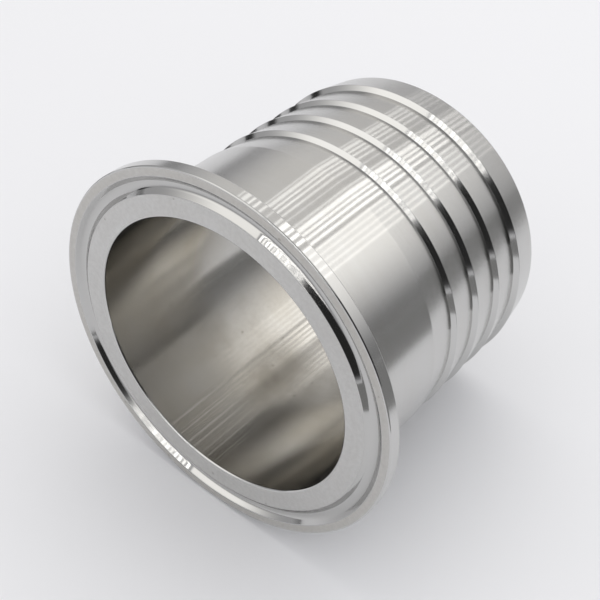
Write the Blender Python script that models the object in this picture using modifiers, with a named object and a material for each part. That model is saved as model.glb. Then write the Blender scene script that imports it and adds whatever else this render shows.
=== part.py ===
"""Hose adapter with a clamp ferrule, turned from one piece of stainless steel.

Frame: the bore axis lies along X, through the origin. The clamp face looks
along -X and the hose end along +X. The origin is halfway between the two end
faces. Lengths are in metres.

The body is one outline turned about the bore axis. A point of the outline is a
pair (station, radius): its distance behind the clamp face, and its distance
from the axis.
"""

import math

import bpy
import mathutils

MM = 0.001

# Whole body
TOTAL_LENGTH = 70.4 * MM
BORE_RADIUS = 34.0 * MM
BORE_EDGE_ROUND = 0.5 * MM
LATHE_STEPS = 72

# Clamp flange: a short cylindrical rim, with a conical back for the clamp's jaws
FLANGE_RADIUS = 45.5 * MM
RIM_WIDTH = 2.95 * MM
RIM_EDGE_ROUND = 0.35 * MM
BACK_TAPER_DEG = 20.0
BACK_ROOT_ROUND = 1.6 * MM

# Gasket groove in the clamp face: two sloping walls, a round bottom and rounded
# shoulders, 1.34 mm deep in all
GROOVE_CENTRE_RADIUS = 41.25 * MM
GROOVE_HALF_WIDTH = 2.0 * MM
GROOVE_WALL_DEG = 45.0
GROOVE_BOTTOM_ROUND = 1.6 * MM
GROOVE_SHOULDER_ROUND = 0.3 * MM

# Hose shank: a plain neck, then ramps that fall towards the hose end, with a
# short steep step up from each ramp to the next. The last ramp is the lead-in
# for the hose: it starts a little higher than the others and falls more steeply
NECK_RADIUS = 37.5 * MM
NECK_END = 27.5 * MM
STEP_COUNT = 4
STEP_PITCH = 8.75 * MM
STEP_HEIGHT = 1.05 * MM
STEP_RUN = 0.77 * MM
FIRST_STEP = 35.5 * MM
LAST_CREST_RADIUS = 37.65 * MM
HOSE_END_RADIUS = 36.4 * MM
HOSE_END_ROUND = 0.35 * MM

STEEL_COLOUR = (0.58, 0.57, 0.55, 1.0)
STEEL_ROUGHNESS = 0.26


def clear_scene():
    for item in list(bpy.data.objects):
        bpy.data.objects.remove(item, do_unlink=True)


def rounded(before, corner, after, radius, segments=2):
    """The corner between two straight runs, replaced by a tangent arc."""
    corner = mathutils.Vector(corner)
    back = (mathutils.Vector(before) - corner).normalized()
    ahead = (mathutils.Vector(after) - corner).normalized()
    half_angle = back.angle(ahead) / 2
    middle = (back + ahead).normalized()
    centre = corner + middle * radius / math.sin(half_angle)
    tangent_length = radius / math.tan(half_angle)
    first = corner + back * tangent_length - centre
    last = corner + ahead * tangent_length - centre
    points = []
    for i in range(segments + 1):
        spoke = first.lerp(last, i / segments).normalized()
        points.append(tuple(centre + spoke * radius))
    return points


def groove_outline():
    """The groove from its outer shoulder to its inner one, seen in the clamp face."""
    depth = GROOVE_HALF_WIDTH * math.tan(math.radians(GROOVE_WALL_DEG))
    corners = [
        (0.0, FLANGE_RADIUS),
        (0.0, GROOVE_CENTRE_RADIUS + GROOVE_HALF_WIDTH),
        (depth, GROOVE_CENTRE_RADIUS),
        (0.0, GROOVE_CENTRE_RADIUS - GROOVE_HALF_WIDTH),
        (0.0, BORE_RADIUS),
    ]
    rounds = [(GROOVE_SHOULDER_ROUND, 2), (GROOVE_BOTTOM_ROUND, 4), (GROOVE_SHOULDER_ROUND, 2)]
    points = []
    for i, (radius, segments) in enumerate(rounds):
        points += rounded(corners[i], corners[i + 1], corners[i + 2], radius, segments)
    return points


def step_outline():
    """The shank from the last ramp's end back to the neck: one crest and one root a step."""
    points = []
    for i in reversed(range(STEP_COUNT)):
        root_station = FIRST_STEP + i * STEP_PITCH
        is_last = i == STEP_COUNT - 1
        crest_radius = LAST_CREST_RADIUS if is_last else NECK_RADIUS
        points.append((root_station + STEP_RUN, crest_radius))
        points.append((root_station, NECK_RADIUS - STEP_HEIGHT))
    points.append((NECK_END, NECK_RADIUS))
    return points


def body_outline():
    """Down the outside from the hose end to the clamp face, and back up the bore."""
    taper_depth = (FLANGE_RADIUS - NECK_RADIUS) * math.tan(math.radians(BACK_TAPER_DEG))
    bore_end = (TOTAL_LENGTH, BORE_RADIUS)
    hose_edge = (TOTAL_LENGTH, HOSE_END_RADIUS)
    back_root = (RIM_WIDTH + taper_depth, NECK_RADIUS)
    rim_back = (RIM_WIDTH, FLANGE_RADIUS)
    rim_front = (0.0, FLANGE_RADIUS)
    bore_mouth = (0.0, BORE_RADIUS)
    steps = step_outline()
    groove = groove_outline()
    points = rounded(bore_end, hose_edge, steps[0], HOSE_END_ROUND)
    points += steps
    points += rounded(steps[-1], back_root, rim_back, BACK_ROOT_ROUND, 3)
    points += rounded(back_root, rim_back, rim_front, RIM_EDGE_ROUND)
    points += rounded(rim_back, rim_front, groove[0], RIM_EDGE_ROUND)
    points += groove
    points += rounded(groove[-1], bore_mouth, bore_end, BORE_EDGE_ROUND)
    points += rounded(bore_mouth, bore_end, hose_edge, BORE_EDGE_ROUND)
    return points


def outline_mesh(name, points):
    """A closed wire loop in the local XZ plane, with +Z towards the hose end."""
    vertices = [(radius, 0.0, station - TOTAL_LENGTH / 2) for station, radius in points]
    edges = [(i, (i + 1) % len(vertices)) for i in range(len(vertices))]
    mesh = bpy.data.meshes.new(name)
    mesh.from_pydata(vertices, edges, [])
    mesh.update()
    return mesh


def turn(item, steps):
    screw = item.modifiers.new("Turned", "SCREW")
    screw.axis = "Z"
    screw.angle = 2 * math.pi
    screw.steps = steps
    screw.render_steps = steps
    screw.use_merge_vertices = True
    screw.merge_threshold = 0.00001
    screw.use_smooth_shade = True


def shade_by_angle(item, angle_deg):
    """Bakes the modifiers into the mesh, shaded smooth with its real corners sharp."""
    graph = bpy.context.evaluated_depsgraph_get()
    mesh = bpy.data.meshes.new_from_object(item.evaluated_get(graph))
    item.modifiers.clear()
    item.data = mesh
    mesh.shade_smooth()
    mesh.set_sharp_from_angle(angle=math.radians(angle_deg))


def steel_material():
    material = bpy.data.materials.new("stainless_steel")
    material.use_nodes = True
    shader = material.node_tree.nodes["Principled BSDF"]
    shader.inputs["Base Color"].default_value = STEEL_COLOUR
    shader.inputs["Metallic"].default_value = 1.0
    shader.inputs["Roughness"].default_value = STEEL_ROUGHNESS
    material.diffuse_color = STEEL_COLOUR
    return material


def build_body(collection):
    name = "hose_adapter_body"
    body = bpy.data.objects.new(name, outline_mesh(name, body_outline()))
    collection.objects.link(body)
    turn(body, LATHE_STEPS)
    bpy.context.view_layer.update()
    shade_by_angle(body, 4.0)
    # Half a lathe step of turn puts a flat facet, not an edge, on the underside.
    body.rotation_mode = "ZYX"
    body.rotation_euler = (0.0, math.pi / 2, math.pi / LATHE_STEPS)
    body.data.materials.append(steel_material())


def main():
    clear_scene()
    collection = bpy.data.collections.new("hose_adapter")
    bpy.context.scene.collection.children.link(collection)
    build_body(collection)


main()
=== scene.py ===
"""Looks of the hose adapter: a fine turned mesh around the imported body, its steel, and the studio round it.

Row frame: the bore axis is X, the clamp face looks along -X and the hose end along +X. Lengths are in metres.
"""

import math

import bpy
from mathutils import Matrix, Vector


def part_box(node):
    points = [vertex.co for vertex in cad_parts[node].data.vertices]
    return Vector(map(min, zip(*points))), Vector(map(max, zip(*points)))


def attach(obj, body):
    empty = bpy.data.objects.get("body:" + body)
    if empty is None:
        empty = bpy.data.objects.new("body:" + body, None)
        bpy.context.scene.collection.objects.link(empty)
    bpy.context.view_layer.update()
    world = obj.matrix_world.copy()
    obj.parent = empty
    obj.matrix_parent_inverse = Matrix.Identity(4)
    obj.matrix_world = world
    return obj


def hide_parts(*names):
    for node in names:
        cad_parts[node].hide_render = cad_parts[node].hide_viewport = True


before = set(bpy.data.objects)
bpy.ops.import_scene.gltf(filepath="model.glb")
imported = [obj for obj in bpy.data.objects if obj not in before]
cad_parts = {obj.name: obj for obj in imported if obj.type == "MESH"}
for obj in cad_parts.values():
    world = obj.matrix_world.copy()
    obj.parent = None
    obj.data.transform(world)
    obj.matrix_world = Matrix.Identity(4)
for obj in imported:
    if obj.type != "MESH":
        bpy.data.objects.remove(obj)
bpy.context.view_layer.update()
body_low, body_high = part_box("hose_adapter_body")

MM = 0.001

# ---------------------------------------------------------------- sizes of the body
FACE_X = body_low.x
LENGTH = body_high.x - body_low.x
SEGMENTS = 384
SUPPORT = 0.03 * MM
LONGEST_RUN = 1.5 * MM

FLANGE_RADIUS = 45.5 * MM
RIM_WIDTH = 2.95 * MM
RIM_FRONT_ROUND = 0.35 * MM
RIM_BACK_ROUND = 0.25 * MM
BACK_TAPER_DEG = 20.0
BACK_ROOT_ROUND = 1.6 * MM

BORE_RADIUS = 34.0 * MM
BORE_EDGE_ROUND = 0.5 * MM

GROOVE_CENTRE_RADIUS = 41.25 * MM
GROOVE_HALF_WIDTH = 2.0 * MM
GROOVE_WALL_DEG = 45.0
GROOVE_BOTTOM_ROUND = 1.6 * MM
GROOVE_SHOULDER_ROUND = 0.3 * MM

NECK_RADIUS = 37.5 * MM
NECK_END = 27.5 * MM
NECK_END_ROUND = 2 * MM
STEP_COUNT = 4
STEP_PITCH = 8.75 * MM
STEP_HEIGHT = 1.05 * MM
STEP_RUN = 0.77 * MM
FIRST_STEP = 35.5 * MM
CREST_ROUND = 0.08 * MM
ROOT_ROUND = 0.12 * MM
LAST_CREST_RADIUS = 37.65 * MM
HOSE_END_RADIUS = 36.4 * MM
HOSE_END_ROUND = 0.35 * MM

FINISHES = [
    "neck", "ramp", "step", "edge", "taper", "rim", "land", "groove", "inner_land", "bore", "end_face",
]

# ---------------------------------------------------------------- view and studio
FLOOR_HALF = 6.0
FLOOR_LIFT = 0.02 * MM
CAMERA_HEADING_DEG = 38.9
CAMERA_ELEVATION_DEG = 48.2
CAMERA_DISTANCE = 269.6 * MM
CAMERA_AIM_RIGHT = -4.0 * MM
CAMERA_AIM_UP = -4.25 * MM
CAMERA_LENS = 69.5
SENSOR = 36.0
# Where along the shank the mirror panels are aimed
MIRROR_STATION = 26 * MM
# The world's brightness, as the steel sees it and as it lights the floor
ROOM_IN_STEEL = 0.50
ROOM_ON_FLOOR = 0.745
FLAG_LIFT = 0.5 * MM
SOFT_LIGHT_SIZE = 0.9
SOFT_LIGHT_DISTANCE = 1.0
WHITE = (1.0, 0.985, 0.96)
WARM = (1.0, 0.98, 0.95)
COOL = (0.96, 0.98, 1.0)
NEUTRAL = (1.0, 1.0, 1.0)
# Each lamp: the stretch of the shank that mirrors it, in degrees round it, and its strength
LAMPS = [
    (24.7, 25.4, 2.1), (26.8, 27.5, 2.1), (28.8, 29.5, 2.1), (30.8, 31.5, 2.1), (32.8, 33.6, 2.3),
    (35.1, 36.0, 2.9), (37.1, 38.0, 2.9), (38.9, 39.7, 2.8), (40.4, 42.0, 2.4), (42.8, 43.5, 1.8),
    (45.9, 46.4, 1.5), (48.1, 48.8, 1.9), (50.1, 50.8, 2.1), (51.9, 52.5, 2.2), (53.4, 54.7, 1.8),
    (55.4, 55.9, 1.7),
]
# The lamps on the left: where the first starts, how far apart they stand and their widths, in degrees of
# azimuth. The last few are narrow. Their strengths repeat.
LEFT_LAMP_COUNT = 13
LEFT_LAMP_WIDE_COUNT = 9
LEFT_LAMP_START = 165.5
LEFT_LAMP_PITCH = 2.8
LEFT_LAMP_WIDE = 1.6
LEFT_LAMP_NARROW = 1.1
LEFT_LAMP_STRENGTHS = (2.9, 2.1, 3.4)

# ---------------------------------------------------------------- marks in the steel
# Noise seldom leaves this range, so it is stretched from here
NOISE_LOW = 0.3
NOISE_HIGH = 0.7
# How far in from the clamp face the wear of the bore's mouth is full, and where it has gone
MOUTH_FULL = 6 * MM
MOUTH_GONE = 25 * MM
# The steel's tone where it is worn, as a share of its colour
WORN_TONE = (0.80, 0.75, 0.66)
CLOUDS_PER_METRE = 55.0
# Bands of tone along the outline: how many to the millimetre, and how far each wears the steel
BANDS_PER_MM = 0.45
BAND_DEPTH = 0.06
# Specks: their number per metre, how far each reaches as a share of its cell, and how deep their tone is
SPECKS_PER_METRE = 210.0
SPECK_SIZE = 0.075
SPECK_DEPTH = 0.3
SPECK_TONE = (0.30, 0.28, 0.25)
MOTTLE_PER_METRE = 1100.0
# Tool marks: their pitch in millimetres along the outline, and their height
RING_PITCH = 0.1
RING_HEIGHT = 0.004 * MM
# Painted highlight streaks, standing in for lamp light mirrored in the bore: how many would go once round the
# bore, and where they lie, as a share of a turn from the top
PAINTED_STREAKS_ROUND = 260.0
PAINTED_STREAKS_FROM = 0.415
PAINTED_STREAKS_TO = 0.515
PAINTED_STREAKS_EASE = 0.02
PAINTED_STREAKS_TONE = (0.9, 0.89, 0.87)
# Each stain on the bore's lower side: its middle, how far it reaches, and its depth of tone
STAINS = [
    ((FACE_X + 33 * MM, 6.4 * MM, -33.4 * MM), 16 * MM, 0.50),
    ((FACE_X + 31 * MM, 21.3 * MM, -26.5 * MM), 17 * MM, 0.36),
    ((FACE_X + 36 * MM, -4.8 * MM, -33.7 * MM), 15 * MM, 0.36),
]
STAIN_TONE = (0.40, 0.38, 0.345)
STAIN_ROUGHNESS = 0.12
# The share of its reach over which a stain keeps its full depth
STAIN_CORE = 0.15


# ---------------------------------------------------------------- outline
class Outline:
    """A closed line of (station, radius) points; each run between two points belongs to a finish."""

    def __init__(self):
        self.points = []
        self.finishes = []

    def add(self, points, finish):
        """Appends points; the runs that end at each of them get this finish."""
        for point in points:
            self.points.append(point)
            self.finishes.append(finish)


def rounded(before, corner, after, radius, segments=5):
    """The corner between two straight runs as a tangent arc, with a support point on each run."""
    corner = Vector(corner)
    back = (Vector(before) - corner).normalized()
    ahead = (Vector(after) - corner).normalized()
    half_angle = back.angle(ahead) / 2
    centre = corner + (back + ahead).normalized() * radius / math.sin(half_angle)
    tangent_length = radius / math.tan(half_angle)
    first = corner + back * tangent_length
    last = corner + ahead * tangent_length
    points = [tuple(first + back * SUPPORT)]
    for i in range(segments + 1):
        spoke = (first - centre).lerp(last - centre, i / segments).normalized()
        points.append(tuple(centre + spoke * radius))
    points.append(tuple(last + ahead * SUPPORT))
    return points


def groove_points():
    """The groove: outer shoulder, round bottom and inner shoulder, with straight walls between them."""
    depth = GROOVE_HALF_WIDTH * math.tan(math.radians(GROOVE_WALL_DEG))
    corners = [
        (0.0, FLANGE_RADIUS),
        (0.0, GROOVE_CENTRE_RADIUS + GROOVE_HALF_WIDTH),
        (depth, GROOVE_CENTRE_RADIUS),
        (0.0, GROOVE_CENTRE_RADIUS - GROOVE_HALF_WIDTH),
        (0.0, BORE_RADIUS),
    ]
    points = []
    for i, radius in enumerate([GROOVE_SHOULDER_ROUND, GROOVE_BOTTOM_ROUND, GROOVE_SHOULDER_ROUND]):
        points += rounded(*corners[i:i + 3], radius, 12)
    return points


def body_outline():
    """From the hose end's outer edge along the outside to the clamp face, then back through the bore."""
    hose_edge = (LENGTH, HOSE_END_RADIUS)
    bore_end = (LENGTH, BORE_RADIUS)
    neck_end = (NECK_END, NECK_RADIUS)
    taper_depth = (FLANGE_RADIUS - NECK_RADIUS) * math.tan(math.radians(BACK_TAPER_DEG))
    back_root = (RIM_WIDTH + taper_depth, NECK_RADIUS)
    rim_back = (RIM_WIDTH, FLANGE_RADIUS)
    rim_front = (0.0, FLANGE_RADIUS)
    bore_mouth = (0.0, BORE_RADIUS)
    groove = groove_points()

    corners = [hose_edge]
    for i in reversed(range(STEP_COUNT)):
        root = FIRST_STEP + i * STEP_PITCH
        is_last = i == STEP_COUNT - 1
        corners.append((root + STEP_RUN, LAST_CREST_RADIUS if is_last else NECK_RADIUS))
        corners.append((root, NECK_RADIUS - STEP_HEIGHT))
    corners.append(neck_end)

    line = Outline()
    line.add(rounded(bore_end, hose_edge, corners[1], HOSE_END_ROUND), "edge")
    for i in range(1, len(corners) - 1):
        is_crest = i % 2 == 1
        radius = CREST_ROUND if is_crest else ROOT_ROUND
        points = rounded(corners[i - 1], corners[i], corners[i + 1], radius, 4)
        line.add(points[:1], "ramp" if is_crest else "step")
        line.add(points[1:], "step")
    line.add(rounded(corners[-2], neck_end, back_root, NECK_END_ROUND, 3), "ramp")
    line.add(rounded(neck_end, back_root, rim_back, BACK_ROOT_ROUND, 8), "neck")
    line.add(rounded(back_root, rim_back, rim_front, RIM_BACK_ROUND), "taper")
    front_edge = rounded(rim_back, rim_front, groove[0], RIM_FRONT_ROUND, 8)
    line.add(front_edge[:2], "rim")
    line.add(front_edge[2:], "edge")
    line.add(groove[:2], "land")
    line.add(groove[2:], "groove")
    mouth_edge = rounded(groove[-1], bore_mouth, bore_end, BORE_EDGE_ROUND, 8)
    line.add(mouth_edge[:2], "inner_land")
    line.add(mouth_edge[2:], "edge")
    line.add(rounded(bore_mouth, bore_end, hose_edge, BORE_EDGE_ROUND, 6), "bore")
    line.finishes[0] = "end_face"
    return line


def subdivided(line, longest):
    """The outline with its long straight runs cut into shorter ones."""
    fine = Outline()
    count = len(line.points)
    for i in range(count):
        a = Vector(line.points[i - 1])
        b = Vector(line.points[i])
        pieces = max(1, math.ceil((b - a).length / longest))
        fine.add([tuple(a.lerp(b, (j + 1) / pieces)) for j in range(pieces)], line.finishes[i])
    return fine


def turned_mesh(name, line, segments):
    """The outline turned about X. UV: U runs along the outline in millimetres, V once round."""
    count = len(line.points)
    vertices = []
    for k in range(segments):
        angle = 2 * math.pi * k / segments
        for station, radius in line.points:
            vertices.append((FACE_X + station, radius * math.sin(angle), radius * math.cos(angle)))
    travel = [0.0]
    for i in range(count):
        a = Vector(line.points[i])
        b = Vector(line.points[(i + 1) % count])
        travel.append(travel[-1] + (b - a).length / MM)
    faces = []
    slots = []
    uvs = []
    for k in range(segments):
        here = k * count
        there = (k + 1) % segments * count
        v0, v1 = k / segments, (k + 1) / segments
        for i in range(count):
            j = (i + 1) % count
            faces.append((here + i, here + j, there + j, there + i))
            slots.append(FINISHES.index(line.finishes[j]))
            uvs += [(travel[i], v0), (travel[i + 1], v0), (travel[i + 1], v1), (travel[i], v1)]
    mesh = bpy.data.meshes.new(name)
    mesh.from_pydata(vertices, [], faces)
    layer = mesh.uv_layers.new(name="turned")
    for loop, uv in zip(layer.data, uvs):
        loop.uv = uv
    mesh.polygons.foreach_set("material_index", slots)
    mesh.shade_smooth()
    mesh.update()
    return mesh


# ---------------------------------------------------------------- steel
def node(tree, kind, **settings):
    made = tree.nodes.new(kind)
    for key, value in settings.items():
        setattr(made, key, value)
    return made


def math_node(tree, operation, a, b=None):
    made = node(tree, "ShaderNodeMath", operation=operation)
    for socket, value in zip(made.inputs, (a, b)):
        if value is None:
            continue
        if hasattr(value, "links"):
            tree.links.new(value, socket)
        else:
            socket.default_value = value
    return made.outputs[0]


def mapped(tree, value, low, high):
    """A noise stretched over low to high."""
    made = node(tree, "ShaderNodeMapRange")
    tree.links.new(value, made.inputs["Value"])
    made.inputs["From Min"].default_value = NOISE_LOW
    made.inputs["From Max"].default_value = NOISE_HIGH
    made.inputs["To Min"].default_value = low
    made.inputs["To Max"].default_value = high
    return made.outputs[0]


def smooth_range(tree, value, start, end, low=0.0, high=1.0):
    """Eases from low to high while the value goes from start to end."""
    ease = node(tree, "ShaderNodeMapRange", interpolation_type="SMOOTHSTEP")
    tree.links.new(value, ease.inputs["Value"])
    ease.inputs["From Min"].default_value = start
    ease.inputs["From Max"].default_value = end
    ease.inputs["To Min"].default_value = low
    ease.inputs["To Max"].default_value = high
    return ease.outputs[0]


def near_mouth(tree, position, amount):
    """The given amount at the clamp face, easing off to nothing a third of the way down the bore."""
    split = node(tree, "ShaderNodeSeparateXYZ")
    tree.links.new(position, split.inputs[0])
    return smooth_range(tree, split.outputs["X"], FACE_X + MOUTH_FULL, FACE_X + MOUTH_GONE, amount, 0.0)


def painted_streaks(tree, mouth, around, colour):
    """Painted highlight streaks: thin bright lines along the bore's lower side, which start at its mouth, in
    place of lamp light mirrored there.
    """
    lines = node(tree, "ShaderNodeTexNoise", noise_dimensions="1D")
    lines.inputs["Scale"].default_value = PAINTED_STREAKS_ROUND
    lines.inputs["Detail"].default_value = 1.0
    tree.links.new(around, lines.inputs["W"])
    share = smooth_range(tree, lines.outputs["Fac"], 0.50, 0.70)
    share = math_node(tree, "MULTIPLY", share, mouth)
    for end, inside in ((PAINTED_STREAKS_FROM, PAINTED_STREAKS_EASE), (PAINTED_STREAKS_TO, -PAINTED_STREAKS_EASE)):
        share = math_node(tree, "MULTIPLY", share, smooth_range(tree, around, end, end + inside))
    bright = node(tree, "ShaderNodeMix", data_type="RGBA")
    bright.inputs["B"].default_value = (*PAINTED_STREAKS_TONE, 1.0)
    tree.links.new(share, bright.inputs["Factor"])
    tree.links.new(colour, bright.inputs["A"])
    return bright.outputs["Result"]


def toned(tree, colour, share, tone):
    """The colour, darkened by the tone where the share is high."""
    mix = node(tree, "ShaderNodeMix", data_type="RGBA", blend_type="MULTIPLY")
    mix.inputs["B"].default_value = (*tone, 1.0)
    tree.links.new(share, mix.inputs["Factor"])
    tree.links.new(colour, mix.inputs["A"])
    return mix.outputs["Result"]


def stained(tree, position, clouds):
    """How much stain lies here: uneven, and nothing past the reach of each patch."""
    share = None
    for middle, reach, strength in STAINS:
        apart = node(tree, "ShaderNodeVectorMath", operation="DISTANCE")
        tree.links.new(position, apart.inputs[0])
        apart.inputs[1].default_value = middle
        patch = smooth_range(tree, apart.outputs["Value"], reach, STAIN_CORE * reach, 0.0, strength)
        share = math_node(tree, "MAXIMUM", share, patch) if share else patch
    return math_node(tree, "MULTIPLY", share, mapped(tree, clouds, 0.6, 1.4))


def speckled(tree, position, colour, grain):
    """Fine mottling, and a few dark specks and nicks."""
    mottle = node(tree, "ShaderNodeTexNoise")
    mottle.inputs["Scale"].default_value = MOTTLE_PER_METRE
    mottle.inputs["Detail"].default_value = 4.0
    mottle.inputs["Roughness"].default_value = 0.7
    tree.links.new(position, mottle.inputs["Vector"])
    cells = node(tree, "ShaderNodeTexVoronoi")
    cells.inputs["Scale"].default_value = SPECKS_PER_METRE
    tree.links.new(position, cells.inputs["Vector"])
    speck = math_node(tree, "LESS_THAN", cells.outputs["Distance"], SPECK_SIZE)
    share = mapped(tree, mottle.outputs["Fac"], 0.0, grain)
    share = math_node(tree, "ADD", share, math_node(tree, "MULTIPLY", speck, SPECK_DEPTH))
    return toned(tree, colour, share, SPECK_TONE)


def steel(name, colour, roughness, anisotropy, spread=0.03, ring_height=0.0, stain=0.0, mouth=0.0,
          grain=0.0, streak_amount=0.0, patches=False):
    """Turned stainless steel: highlights stretch across the tool marks, which run round the axis."""
    material = bpy.data.materials.new("steel_" + name)
    material.use_nodes = True
    tree = material.node_tree
    shader = tree.nodes["Principled BSDF"]
    shader.inputs["Metallic"].default_value = 1.0
    shader.inputs["Anisotropic"].default_value = anisotropy
    tangent = node(tree, "ShaderNodeTangent", direction_type="UV_MAP", uv_map="turned")
    tree.links.new(tangent.outputs[0], shader.inputs["Tangent"])

    uv = node(tree, "ShaderNodeUVMap", uv_map="turned")
    split = node(tree, "ShaderNodeSeparateXYZ")
    tree.links.new(uv.outputs[0], split.inputs[0])
    along = split.outputs["X"]
    rings = node(tree, "ShaderNodeTexNoise", noise_dimensions="1D")
    rings.inputs["Scale"].default_value = 1.0
    rings.inputs["Detail"].default_value = 3.0
    tree.links.new(math_node(tree, "DIVIDE", along, RING_PITCH), rings.inputs["W"])
    bands = node(tree, "ShaderNodeTexNoise", noise_dimensions="1D")
    bands.inputs["Scale"].default_value = BANDS_PER_MM
    bands.inputs["Detail"].default_value = 4.0
    tree.links.new(along, bands.inputs["W"])
    coords = node(tree, "ShaderNodeTexCoord")
    clouds = node(tree, "ShaderNodeTexNoise")
    clouds.inputs["Scale"].default_value = CLOUDS_PER_METRE
    clouds.inputs["Detail"].default_value = 5.0
    tree.links.new(coords.outputs["Object"], clouds.inputs["Vector"])

    uneven = math_node(tree, "ADD", mapped(tree, rings.outputs["Fac"], -spread, spread), roughness)
    uneven = math_node(tree, "ADD", uneven, mapped(tree, clouds.outputs["Fac"], -spread / 2, spread / 2))
    if mouth:
        uneven = math_node(tree, "ADD", uneven, near_mouth(tree, coords.outputs["Object"], mouth))

    tint = node(tree, "ShaderNodeMix", data_type="RGBA")
    tint.inputs["A"].default_value = (*colour, 1.0)
    tint.inputs["B"].default_value = (*[c * tone for c, tone in zip(colour, WORN_TONE)], 1.0)
    worn = math_node(tree, "MULTIPLY", mapped(tree, clouds.outputs["Fac"], 0.0, 1.0), stain)
    worn = math_node(tree, "ADD", worn, mapped(tree, bands.outputs["Fac"], 0.0, BAND_DEPTH))
    tree.links.new(worn, tint.inputs["Factor"])
    surface = tint.outputs["Result"]
    if patches:
        share = stained(tree, coords.outputs["Object"], clouds.outputs["Fac"])
        surface = toned(tree, surface, share, STAIN_TONE)
        uneven = math_node(tree, "ADD", uneven, math_node(tree, "MULTIPLY", share, STAIN_ROUGHNESS))
    tree.links.new(uneven, shader.inputs["Roughness"])
    if grain:
        surface = speckled(tree, coords.outputs["Object"], surface, grain)
    # The bright lines near the bore's mouth are painted highlight streaks.
    if streak_amount:
        streak_mouth_share = near_mouth(tree, coords.outputs["Object"], streak_amount)
        surface = painted_streaks(tree, streak_mouth_share, split.outputs["Y"], surface)
    tree.links.new(surface, shader.inputs["Base Color"])

    if ring_height:
        bump = node(tree, "ShaderNodeBump")
        bump.inputs["Strength"].default_value = 1.0
        bump.inputs["Distance"].default_value = ring_height
        tree.links.new(rings.outputs["Fac"], bump.inputs["Height"])
        tree.links.new(bump.outputs[0], shader.inputs["Normal"])
    return material


def steel_set():
    plain = (0.58, 0.578, 0.57)
    # Darker than the plain steel, for the groove alone: painted shade in the recess.
    greyer_shaded = (0.53, 0.528, 0.52)
    pale = (0.63, 0.628, 0.62)
    warmer = (0.60, 0.592, 0.575)
    # The bore's tone is darker than the plain steel: painted shade inside the tube.
    bore_warm_shaded = (0.525, 0.517, 0.497)
    return {
        "neck": steel("neck", plain, 0.145, 1.0, ring_height=RING_HEIGHT, stain=0.10),
        "ramp": steel("ramp", plain, 0.145, 1.0, ring_height=RING_HEIGHT, stain=0.10),
        "step": steel("step", plain, 0.10, 0.6, spread=0.02),
        "edge": steel("edge", plain, 0.10, 0.7, spread=0.01),
        "taper": steel("taper", plain, 0.26, 0.9),
        "rim": steel("rim", plain, 0.12, 1.0, spread=0.01),
        "land": steel("land", warmer, 0.42, 0.5, stain=0.2, grain=0.16),
        "groove": steel("groove", greyer_shaded, 0.08, 1.0, spread=0.005),
        "inner_land": steel("inner_land", pale, 0.42, 0.5, stain=0.1, grain=0.16),
        # The bore: darkened steel as painted shade, with painted highlight streaks near its mouth.
        "bore": steel("bore", bore_warm_shaded, 0.14, 0.88, spread=0.02, stain=0.45, mouth=0.07, grain=0.08,
                      streak_amount=0.4, patches=True),
        "end_face": steel("end_face", plain, 0.35, 0.6),
    }


def build_body():
    line = subdivided(body_outline(), LONGEST_RUN)
    mesh = turned_mesh("hose_adapter_steel", line, SEGMENTS)
    finishes = steel_set()
    for name in FINISHES:
        mesh.materials.append(finishes[name])
    body = bpy.data.objects.new("hose_adapter_steel", mesh)
    bpy.context.scene.collection.objects.link(body)
    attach(body, "root")
    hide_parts("hose_adapter_body")
    return line


# ---------------------------------------------------------------- studio
def resting_frame(line):
    """The floor's frame. The body lies on its rim and the end of its shank: the floor tilts to touch both."""
    centre_x = (body_low.x + body_high.x) / 2
    heel = Vector((FACE_X + RIM_WIDTH, 0.0, -FLANGE_RADIUS))
    tilt = math.pi / 2
    for station, radius in line.points:
        if station > NECK_END:
            tilt = min(tilt, math.atan2(FLANGE_RADIUS - radius, station - RIM_WIDTH))
    turn = Matrix.Rotation(-tilt, 4, "Y")
    up = turn @ Vector((0.0, 0.0, 1.0))
    centre = Vector((centre_x, 0.0, 0.0))
    drop = (centre - heel).dot(up)
    origin = centre - up * (drop + FLOOR_LIFT)
    return Matrix.Translation(origin) @ turn, drop


def direction(azimuth_deg, elevation_deg):
    azimuth, elevation = math.radians(azimuth_deg), math.radians(elevation_deg)
    level = math.cos(elevation)
    return Vector((level * math.cos(azimuth), level * math.sin(azimuth), math.sin(elevation)))


def place(item, studio):
    bpy.context.scene.collection.objects.link(item)
    item.matrix_world = studio @ item.matrix_basis


class View:
    """The camera's place and axes in the row frame, and what it sees mirrored in the shank."""

    def __init__(self, studio, centre):
        heading = direction(CAMERA_HEADING_DEG, -CAMERA_ELEVATION_DEG)
        right = direction(CAMERA_HEADING_DEG - 90.0, 0.0)
        up = right.cross(heading)
        aim = centre + right * CAMERA_AIM_RIGHT + up * CAMERA_AIM_UP
        turn = Matrix((right, up, -heading)).transposed().to_4x4()
        self.matrix = studio @ Matrix.Translation(aim - heading * CAMERA_DISTANCE) @ turn
        self.eye = self.matrix.translation
        over = self.matrix.to_3x3() @ Vector((0.0, 1.0, 0.0))
        self.top = Vector((0.0, over.y, over.z)).normalized()
        self.side = Vector((1.0, 0.0, 0.0)).cross(self.top)

    def mirrored(self, theta_deg, lean_deg, distance):
        """A point seen in the shank. Theta runs round it from the side facing right, over the top; lean tips
        the surface towards the hose end.
        """
        theta, lean = math.radians(theta_deg), math.radians(lean_deg)
        outward = self.side * math.cos(theta) + self.top * math.sin(theta)
        point = Vector((FACE_X + MIRROR_STATION, 0.0, 0.0)) + outward * NECK_RADIUS
        normal = outward * math.cos(lean) + Vector((math.sin(lean), 0.0, 0.0))
        return point + (point - self.eye).normalized().reflect(normal) * distance


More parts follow.
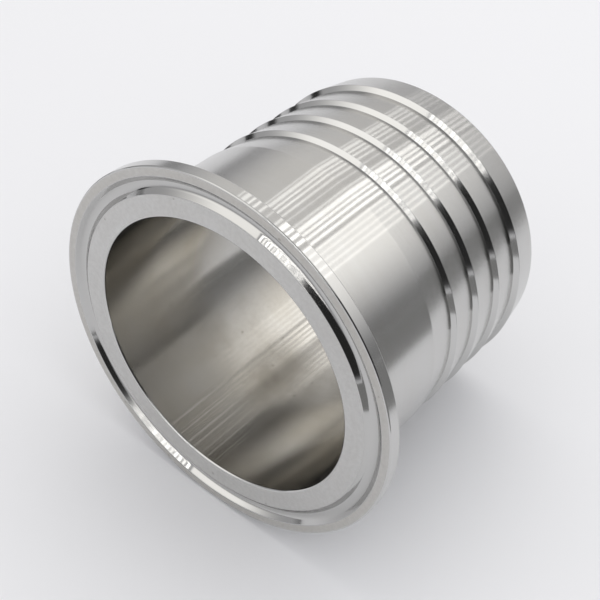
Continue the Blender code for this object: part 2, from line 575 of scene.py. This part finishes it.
def add_camera(view):
    data = bpy.data.cameras.new("camera")
    data.sensor_width = SENSOR
    data.lens = CAMERA_LENS
    data.clip_start = 0.01
    data.clip_end = 20.0
    camera = bpy.data.objects.new("camera", data)
    camera.matrix_world = view.matrix
    bpy.context.scene.collection.objects.link(camera)
    bpy.context.scene.camera = camera


def paint(name, colour, roughness=0.6):
    material = bpy.data.materials.new(name)
    material.use_nodes = True
    shader = material.node_tree.nodes["Principled BSDF"]
    shader.inputs["Base Color"].default_value = (*colour, 1.0)
    shader.inputs["Roughness"].default_value = roughness
    return material


def flat_glow(name, grey):
    """An even grey that no light changes."""
    material = paint(name, (0.0, 0.0, 0.0))
    shader = material.node_tree.nodes["Principled BSDF"]
    shader.inputs["Emission Color"].default_value = (grey, grey, grey, 1.0)
    shader.inputs["Emission Strength"].default_value = 1.0
    shader.inputs["Specular IOR Level"].default_value = 0.0
    return material


def add_floor(studio):
    mesh = bpy.data.meshes.new("floor")
    corners = [(-1, -1), (1, -1), (1, 1), (-1, 1)]
    mesh.from_pydata([(x * FLOOR_HALF, y * FLOOR_HALF, 0) for x, y in corners], [], [(0, 1, 2, 3)])
    floor = bpy.data.objects.new("floor", mesh)
    mesh.materials.append(paint("pale_floor", (0.84, 0.84, 0.85), roughness=0.9))
    mesh.materials[0].node_tree.nodes["Principled BSDF"].inputs["Specular IOR Level"].default_value = 0.1
    place(floor, studio)


def reflect_only(item):
    """Seen only in the steel: the item neither shows to the camera nor lights or shades the floor."""
    item.visible_camera = False
    item.visible_diffuse = False
    item.visible_shadow = False
    item.visible_transmission = False
    item.visible_volume_scatter = False


def curved_sheet(name, point_at, columns, rows, material):
    """A sheet that only the steel sees, with a UV map that runs from 0 to 1 both ways."""
    vertices = []
    uvs = []
    for r in range(rows + 1):
        for c in range(columns + 1):
            vertices.append(point_at(c / columns, r / rows))
            uvs.append((c / columns, r / rows))
    faces = []
    for r in range(rows):
        for c in range(columns):
            a = r * (columns + 1) + c
            faces.append((a, a + 1, a + columns + 2, a + columns + 1))
    mesh = bpy.data.meshes.new(name)
    mesh.from_pydata(vertices, [], faces)
    layer = mesh.uv_layers.new(name="sheet")
    for loop in mesh.loops:
        layer.data[loop.index].uv = uvs[loop.vertex_index]
    mesh.materials.append(material)
    item = bpy.data.objects.new(name, mesh)
    bpy.context.scene.collection.objects.link(item)
    reflect_only(item)


def between(pair, share):
    return pair[0] + (pair[1] - pair[0]) * share


def sky_panel(name, studio, centre, azimuths, elevations, distance, material):
    """A part of a sphere round the body, between two azimuths and two elevations."""
    def point_at(s, t):
        return studio @ (centre + direction(between(azimuths, s), between(elevations, t)) * distance)
    curved_sheet(name, point_at, columns=24, rows=12, material=material)


def mirror_panel(name, view, thetas, leans, distance, material):
    """A panel that fills, for the camera, a stretch of the shank's reflections."""
    def point_at(s, t):
        return view.mirrored(between(thetas, s), between(leans, t), distance)
    columns = max(1, round(thetas[1] - thetas[0]))
    curved_sheet(name, point_at, columns, rows=16, material=material)


def glow(name, colour, strength, left=0.0, right=0.0, bottom=0.0, top=0.0):
    """A glowing sheet that thins out to nothing over a share of each side."""
    material = bpy.data.materials.new(name)
    material.use_nodes = True
    material.cycles.emission_sampling = "NONE"
    tree = material.node_tree
    tree.nodes.clear()
    output = node(tree, "ShaderNodeOutputMaterial")
    light = node(tree, "ShaderNodeEmission")
    light.inputs["Color"].default_value = (*colour, 1.0)
    light.inputs["Strength"].default_value = strength
    clear = node(tree, "ShaderNodeBsdfTransparent")
    mix = node(tree, "ShaderNodeMixShader")
    uv = node(tree, "ShaderNodeUVMap", uv_map="sheet")
    split = node(tree, "ShaderNodeSeparateXYZ")
    tree.links.new(uv.outputs[0], split.inputs[0])
    across, up = split.outputs["X"], split.outputs["Y"]
    sides = [(across, left), (math_node(tree, "SUBTRACT", 1.0, across), right),
             (up, bottom), (math_node(tree, "SUBTRACT", 1.0, up), top)]
    mask = None
    for value, share in sides:
        if share:
            edge = smooth_range(tree, value, 0.0, share)
            mask = math_node(tree, "MULTIPLY", mask, edge) if mask else edge
    if mask:
        tree.links.new(mask, mix.inputs[0])
    else:
        mix.inputs[0].default_value = 1.0
    tree.links.new(clear.outputs[0], mix.inputs[1])
    tree.links.new(light.outputs[0], mix.inputs[2])
    tree.links.new(mix.outputs[0], output.inputs[0])
    return material


def add_soft_light(name, studio, centre, azimuth, elevation, watts, colour):
    data = bpy.data.lights.new(name, "AREA")
    data.shape = "DISK"
    data.size = SOFT_LIGHT_SIZE
    data.energy = watts
    data.color = colour
    light = bpy.data.objects.new(name, data)
    towards = direction(azimuth, elevation)
    turn = towards.to_track_quat("Z", "Y").to_matrix().to_4x4()
    light.matrix_basis = Matrix.Translation(centre + towards * SOFT_LIGHT_DISTANCE) @ turn
    place(light, studio)
    light.visible_glossy = False
    light.visible_camera = False


def add_world():
    """Pale behind the floor's edge for the camera, dim for what the steel sees."""
    world = bpy.data.worlds.new("studio")
    bpy.context.scene.world = world
    world.use_nodes = True
    tree = world.node_tree
    tree.nodes.clear()
    output = node(tree, "ShaderNodeOutputWorld")
    path = node(tree, "ShaderNodeLightPath")
    room = node(tree, "ShaderNodeBackground")
    room.inputs["Color"].default_value = (1.0, 1.0, 1.02, 1.0)
    backdrop = node(tree, "ShaderNodeBackground")
    backdrop.inputs["Color"].default_value = (0.86, 0.86, 0.87, 1.0)
    level = math_node(tree, "MULTIPLY", path.outputs["Is Glossy Ray"], ROOM_IN_STEEL - ROOM_ON_FLOOR)
    tree.links.new(math_node(tree, "ADD", level, ROOM_ON_FLOOR), room.inputs["Strength"])
    mix = node(tree, "ShaderNodeMixShader")
    tree.links.new(path.outputs["Is Camera Ray"], mix.inputs[0])
    tree.links.new(room.outputs[0], mix.inputs[1])
    tree.links.new(backdrop.outputs[0], mix.inputs[2])
    tree.links.new(mix.outputs[0], output.inputs[0])


def floor_flag(name, studio, corners, grey):
    """A dark sheet just above the floor, seen only in the steel, where the pale floor stops."""
    mesh = bpy.data.meshes.new(name)
    mesh.from_pydata([Vector((x, y, FLAG_LIFT)) for x, y in corners], [], [(0, 1, 2, 3)])
    mesh.materials.append(flat_glow(name, grey))
    item = bpy.data.objects.new(name, mesh)
    place(item, studio)
    reflect_only(item)


def add_lamp_rows(view):
    """Uneven rows of small lamps before the ceiling panel: the turned steel draws them out into streaks."""
    for i, (start, end, strength) in enumerate(LAMPS):
        mirror_panel(f"lamp_{i}", view, thetas=(start, end), leans=(-4.6, 12.2), distance=2.5,
                     material=glow(f"lamp_{i}", WHITE, strength, bottom=0.1, top=0.2))


def add_left_lamps(studio, centre):
    """Upright lamps of uneven strength between the big left panel and the dark behind the camera."""
    for i in range(LEFT_LAMP_COUNT):
        start = LEFT_LAMP_START + LEFT_LAMP_PITCH * i
        width = LEFT_LAMP_WIDE if i < LEFT_LAMP_WIDE_COUNT else LEFT_LAMP_NARROW
        strength = LEFT_LAMP_STRENGTHS[i % len(LEFT_LAMP_STRENGTHS)]
        sky_panel(f"left_lamp_{i}", studio, centre, azimuths=(start, start + width), elevations=(16, 56),
                  distance=2.53, material=glow(f"left_lamp_{i}", WHITE, strength, bottom=0.1, top=0.1))


def add_floor_flags(studio):
    """The dark past the ends of the table, as the steel sees it."""
    floor_flag("table_end_right", studio, [(-0.6, -0.25), (1.2, 0.054), (1.8, -1.5), (-0.6, -1.5)], 0.27)
    floor_flag("table_end_left", studio, [(0.03, 0.17), (-0.03, 0.17), (-0.09, 0.60), (0.07, 0.60)], 0.05)


def add_mirror_panels(view):
    """The sheets that the camera sees in the shank, from its right side over the top."""
    mirror_panel("dark_side", view, thetas=(-16, 14), leans=(-30, 10), distance=2.69,
                 material=glow("dark_side", NEUTRAL, 0.24, left=0.05, right=0.5, top=0.15))
    mirror_panel("main_panel", view, thetas=(4, 33.4), leans=(-10, 11.0), distance=2.56,
                 material=glow("main_panel", WHITE, 1.52, left=0.78, bottom=0.22, top=0.14))
    mirror_panel("ceiling", view, thetas=(33.2, 80), leans=(-7.5, 12.3), distance=2.62,
                 material=glow("ceiling", WARM, 0.93, right=0.46, bottom=0.25, top=0.2))


def add_sky_panels(studio, centre):
    """The sheets round the rest of the room, by azimuth and elevation."""
    sky_panel("high_left", studio, centre, azimuths=(55, 162), elevations=(34, 89), distance=2.7,
              material=glow("high_left", WHITE, 1.15, left=0.1, right=0.1, bottom=0.25))
    sky_panel("panel_left", studio, centre, azimuths=(100, 164.5), elevations=(6, 62), distance=2.56,
              material=glow("panel_left", WHITE, 1.5, left=0.6, right=0.02, bottom=0.4, top=0.2))
    add_left_lamps(studio, centre)
    sky_panel("dusk_left", studio, centre, azimuths=(98, 119), elevations=(-3, 5.5), distance=2.62,
              material=glow("dusk_left", NEUTRAL, 0.03, left=0.3, right=0.2, top=0.35))
    sky_panel("dusk_back", studio, centre, azimuths=(40, 85), elevations=(-1, 13.5), distance=2.62,
              material=glow("dusk_back", NEUTRAL, 0.25, left=0.5, right=0.3, top=0.5))
    sky_panel("person", studio, centre, azimuths=(-158, -64), elevations=(-4, 50), distance=1.5,
              material=glow("person", NEUTRAL, 0.03, left=0.02, right=0.2, bottom=0.1, top=0.1))


def add_studio(line):
    studio, centre_height = resting_frame(line)
    centre = Vector((0.0, 0.0, centre_height))
    view = View(studio, centre)
    add_camera(view)
    add_world()
    add_floor(studio)
    add_soft_light("lamp_back", studio, centre, azimuth=40, elevation=66, watts=2.5, colour=WARM)
    add_soft_light("lamp_front", studio, centre, azimuth=-60, elevation=60, watts=1.8, colour=COOL)
    add_floor_flags(studio)
    add_mirror_panels(view)
    add_lamp_rows(view)
    add_sky_panels(studio, centre)


outline = build_body()
add_studio(outline)
bpy.context.scene.view_settings.view_transform = "Standard"
